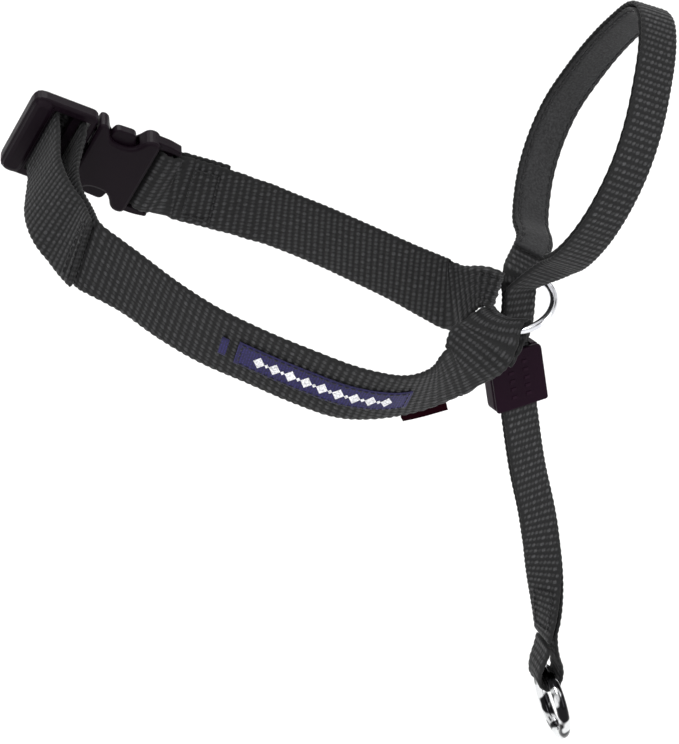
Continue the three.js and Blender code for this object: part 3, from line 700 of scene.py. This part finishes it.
def padding(name, rail, s0, s1, width, thick, lift, material):
    """A soft lining: crowned between its two sewn rows, rolled edges."""
    rows_n = int((s1 - s0) * (2.4))
    cols_n = 30
    s = np.linspace(s0, s1, rows_n)
    p, w, n, _ = rail.at(s)
    frac = np.linspace(-1, 1, cols_n)
    seam = np.exp(-((np.abs(frac) - 0.78) / 0.07) ** 2)
    end = np.clip(np.minimum(s - s0, s1 - s) / 1.5, 0, 1)[:, None] ** 0.5
    crown = np.sqrt(np.clip(1 - np.abs(frac) ** 6, 0, 1))
    pull = 0.5 + 0.5 * np.cos(2 * np.pi * s / 2.4)[:, None]
    swell = 0.16 * (1 - frac**2)[None, :]
    furrow = (seam * 0.34)[None, :] * (0.6 + 0.4 * pull)
    top = (thick / 2 * crown)[None, :] * (0.55 + 0.45 * end) + swell - furrow
    low = -(thick / 2 * crown)[None, :] * np.ones_like(top)
    u = (width / 2 * frac)[None, :] * (1 + 0.012 * np.sin(s * 2.1)[:, None])
    face = lambda t: p[:, None, :] + w[:, None, :] * u[:, :, None] + n[:, None, :] * (t + lift)[:, :, None]
    pts = np.concatenate([face(top), face(low)[:, ::-1]], axis=1)
    # painted light: a painted highlight on the crown, painted shade in the furrows by the sewn rows and over
    # the whole underside
    rise = np.concatenate([np.clip(0.55 + top * 0.5, 0, 1), np.full_like(low, 0.3)], axis=1)
    faces = np.concatenate([grid_faces(rows_n, 2 * cols_n), caps(rows_n, 2 * cols_n, cols_n)])
    return make_mesh(name, pts.reshape(-1, 3), faces[:, ::-1], material, {"rise": rise.ravel()})


pad = padding("nose_pad", LOOP, PAD_S0, PAD_S1, NOSE_W, PAD_T, PAD_LIFT, LINING)
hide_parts("nose_pad_lining")
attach(pad, "nose")


def sewn(name, rail, path, lift, body, cad, pitch=2.4, thick=0.42):
    """Stitches along path, a list of (length along the rail, distance across)."""
    dense_s, dense_u = [], []
    for (a, b), (c, d) in zip(path[:-1], path[1:]):
        k = max(2, int(math.hypot(c - a, d - b) * 3))
        dense_s += list(np.linspace(a, c, k, endpoint=False))
        dense_u += list(np.linspace(b, d, k, endpoint=False))
    dense_s.append(path[-1][0])
    dense_u.append(path[-1][1])
    p, w, n, _ = rail.at(dense_s)
    pts = p + w * np.array(dense_u)[:, None] + n * lift
    side = 1 if lift >= 0 else -1
    obj = stitches(name, pts, n * side, YARN, pitch=pitch, thick=thick)
    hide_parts(cad)
    if body == "buckle_male":
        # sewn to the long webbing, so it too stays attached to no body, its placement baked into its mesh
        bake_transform(obj)
    else:
        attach(obj, body)
    return obj


def box_path(s0, s1, half, stop):
    """A sewn box from s0 to s1 along the strap, its last side ending at stop."""
    return [(s0, -half), (s1, -half), (s1, half), (s0, half), (s0, stop)]


def hem_path(s0, s1, half):
    """Two sewn rows across the strap, joined at one side."""
    return [(s0, -half), (s0, half), (s1, half), (s1, -half)]


PAD_TOP = PAD_LIFT + PAD_T / 2
PAD_ROW = 3.7  # the lining's sewn rows, from its middle
for side_name, across in (("front", PAD_ROW), ("back", -PAD_ROW)):
    sewn("nose_pad_stitches_" + side_name, LOOP, [(PAD_S0 + 1, across), (PAD_S1 - 1, across)],
         PAD_TOP - 0.1, "nose", "nose_pad_stitching_" + side_name)

# ---- label and collar stitching ---------------------------------------------------------------------
L0, L1 = 0.42 * NEAR.length, 0.845 * NEAR.length
TAB0, TAB1 = 0.378 * NEAR.length, 0.396 * NEAR.length
LABEL_LIFT = WEB_T / 2 + GAP + 0.1
label = webbing("woven_label_tape", NEAR, LABEL, thick=0.5, row=0.7, rib=0.5, relief=0.05,
                s0=L0, s1=L1, width=7.4, lift=LABEL_LIFT, scallop=0.0, fine=0.7)
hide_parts("woven_label")
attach(label, "collar")
tab = webbing("label_end_tab", NEAR, LABEL, thick=0.5, row=0.7, rib=0.5, relief=0.05,
              s0=TAB0, s1=TAB1, width=5.6, lift=LABEL_LIFT, scallop=0.0, fine=0.7)
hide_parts("label_tab")
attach(tab, "collar")
FT, BT, LT = FAR.length, BACK.length, LEAD.length
sewn("label_stitches", NEAR, box_path(L0 + 1, L1 - 1, 3.1, -2.4),
     LABEL_LIFT + 0.3, "collar", "label_stitching", pitch=1.7, thick=0.3)
sewn("buckle_end_stitches", FAR, box_path(0.12 * FT, 0.185 * FT, 7, -6),
     BAR_LIFT + WEB_T / 2 + 0.15, "collar", "buckle_end_stitching", pitch=2.2)
sewn("tail_hem_stitches", BACK, hem_path(0.05 * BT, 0.12 * BT, 7.5),
     -(TAIL_OVER + 0.95), "buckle_male", "tail_hem_stitching", pitch=2.0)
sewn("junction_stitches", FAR, hem_path(0.952 * FT, 0.985 * FT, 3),
     0.95, "collar", "junction_stitching", pitch=2.0)
sewn("lead_end_stitches", LEAD, box_path(0.86 * LT, 0.97 * LT, 2.8, -2),
     LEG_OFF + NOSE_T / 2 + 0.1, "nose", "lead_end_stitching", pitch=2.0)


# ---- label motif: a plain row of large and small diamonds ------------------------------------------------
def motif():
    verts, faces = [], []
    lift = LABEL_LIFT + 0.34

    def lozenge(s_mid, half_s, half_u):
        ring_pts = [(-half_s, 0), (0, -half_u), (half_s, 0), (0, half_u)]
        base = len(verts)
        for k in (0, 0.12):
            for ds, du in ring_pts:
                p, w, n, _ = NEAR.at([s_mid + ds * (1 - k)])
                verts.append(p[0] + w[0] * du * (1 - k) + n[0] * (lift + k))
        faces.extend([[base + 4, base + 5, base + 6, base + 7]])
        for i in range(4):
            j = (i + 1) % 4
            faces.append([base + i, base + j, base + 4 + j, base + 4 + i])

    span = L1 - L0 - 8
    count = 9
    for i in range(count):
        s_mid = L0 + 4 + span * (i + 0.5) / count
        lozenge(s_mid, 1.5, 1.9)
        if i + 1 < count:
            lozenge(s_mid + span / count / 2, 0.55, 0.7)
    rise = {"rise": np.full(len(verts), 0.8)}
    obj = make_mesh("label_motif", verts, faces, MOTIF, rise, smooth_faces=False)
    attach(obj, "collar")


motif()

# ---- hard pieces: CAD bodies with softened edges ----------------------------------------------------
HARD = {
    "buckle_housing": PLASTIC, "buckle_male_frame": PLASTIC, "release_arm_upper": PLASTIC,
    "release_arm_lower": PLASTIC, "clamp_body": CLAMP_PLASTIC, "clamp_lid": CLAMP_PLASTIC,
    "strap_keeper": KEEPER_PLASTIC,
}
for name, material in HARD.items():
    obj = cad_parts[name]
    obj.data.materials.clear()
    obj.data.materials.append(material)
    bevel = obj.modifiers.new("edge", "BEVEL")
    bevel.width = 0.25 * MM
    bevel.segments = 2
    bevel.limit_method = "ANGLE"
    bevel.angle_limit = math.radians(35)
    # even shading on each flat face, without touching the mesh itself
    bevel.harden_normals = True


def wire_ring(name, centre, normal, radius, wire, material, body, cad):
    major, minor = ((128, 28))
    z = unit(normal)
    x = unit(np.cross(arr(0.3, 1, 0.2), z))
    y = np.cross(z, x)
    a = np.linspace(0, 2 * np.pi, major, endpoint=False)
    b = np.linspace(0, 2 * np.pi, minor, endpoint=False)
    radial = np.cos(a)[:, None] * x + np.sin(a)[:, None] * y
    r = wire * (1 + 0.004 * np.sin(7 * a))[:, None]
    pts = (centre + radial[:, None, :] * (radius + r * np.cos(b)[None, :])[:, :, None]
           + z * (r * np.sin(b)[None, :])[:, :, None])
    obj = make_mesh(name, pts.reshape(-1, 3), grid_faces(major, minor, True), material)
    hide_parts(cad)
    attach(obj, body)


LEASH_R, LEASH_WIRE = 9.0, 1.5
LEASH_AT = EYE_AT + unit(arr(0.2, 0, -1)) * LEASH_R
wire_ring("centre_ring_wire", RING_AT, RING_Z, RING_R, RING_WIRE, CENTRE_RING_METAL, "centre_ring", "centre_ring")
wire_ring("leash_ring_wire", LEASH_AT, arr(0.94, 0.28, 0.19), LEASH_R, LEASH_WIRE, CHROME, "leash_ring",
          "leash_ring")

# ---- floor, light, camera ---------------------------------------------------------------------------
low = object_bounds()[0]


def stage_mesh(name, verts, faces, colour, rough):
    mesh = bpy.data.meshes.new(name)
    mesh.from_pydata(verts, [], faces)
    m, nt, bsdf = new_material(name)
    bsdf.inputs["Base Color"].default_value = (*colour, 1)
    bsdf.inputs["Roughness"].default_value = rough
    mesh.materials.append(m)
    obj = bpy.data.objects.new(name, mesh)
    bpy.context.scene.collection.objects.link(obj)
    return obj


FLOOR_Z = low[2] - 0.045
FLOOR_HALF = 6
floor_corners = [(x * FLOOR_HALF, y * FLOOR_HALF, FLOOR_Z) for x, y in ((-1, -1), (1, -1), (1, 1), (-1, 1))]
stage_mesh("floor", floor_corners, [(0, 1, 2, 3)], (0.93, 0.93, 0.93), 0.9)


def lamp(name, loc, target, size, power, colour=(1, 1, 1)):
    data = bpy.data.lights.new(name, "AREA")
    data.shape = "RECTANGLE"
    data.size, data.size_y = size
    data.energy = power
    data.color = colour
    obj = bpy.data.objects.new(name, data)
    bpy.context.scene.collection.objects.link(obj)
    obj.location = loc
    d = Vector(target) - Vector(loc)
    obj.rotation_euler = d.to_track_quat("-Z", "Y").to_euler()


lamp("key", (-0.35, -0.75, 0.85), (0, 0, 0), (0.5, 0.5), 10.0)
lamp("fill", (0.9, -0.55, 0.35), (0, 0, 0), (0.5, 0.7), 4.0)
lamp("back", (0.1, 0.9, 0.8), (0, 0, 0), (0.9, 0.5), 6.0)

# Dark flags high round the set, leaning in, so that metal and plastic have something to reflect.
FLAG_TURNS = (12, 62, 118, 170, 236, 304)
FLAG_OUT, FLAG_HALF_WIDTH = 1.05, 0.22
FLAG_LEAN = 0.8  # its top stands at this share of its foot's distance
FLAG_FOOT, FLAG_TOP = arr(0, 0, 0.36), arr(0, 0, 0.82)
for i, turn_deg in enumerate(FLAG_TURNS):
    t = math.radians(turn_deg)
    c = arr(math.cos(t), math.sin(t), 0) * FLAG_OUT
    d = arr(-math.sin(t), math.cos(t), 0) * FLAG_HALF_WIDTH
    top = c * FLAG_LEAN
    quad = [c - d + FLAG_FOOT, c + d + FLAG_FOOT, top + d + FLAG_TOP, top - d + FLAG_TOP]
    stage_mesh("flag_%d" % i, [tuple(map(float, q)) for q in quad], [(0, 1, 2, 3)], (0.01, 0.01, 0.01), 0.9)
world = bpy.data.worlds.new("studio")
world.use_nodes = True
world.node_tree.nodes["Background"].inputs["Color"].default_value = (1, 1, 1, 1)
world.node_tree.nodes["Background"].inputs["Strength"].default_value = 0.9
bpy.context.scene.world = world
bpy.context.scene.view_settings.view_transform = "Standard"

CAM_AIM = (10, -15, -18)
CAM_BACK = 900
CAM_LOOK_DOWN = math.radians(24)
SENSOR_W, LENS = 36, 190.869
cam_data = bpy.data.cameras.new("camera")
cam = bpy.data.objects.new("camera", cam_data)
bpy.context.scene.collection.objects.link(cam)
aim = Vector(CAM_AIM) * MM
away = Vector((0, -CAM_BACK * math.cos(CAM_LOOK_DOWN), CAM_BACK * math.sin(CAM_LOOK_DOWN)))
cam.location = (Vector(CAM_AIM) + away) * MM
cam.rotation_euler = (aim - cam.location).to_track_quat("-Z", "Y").to_euler()
cam_data.sensor_fit = "HORIZONTAL"
cam_data.sensor_width = SENSOR_W
cam_data.lens = LENS
cam_data.clip_start = 0.05
cam_data.clip_end = 20
bpy.context.scene.camera = cam
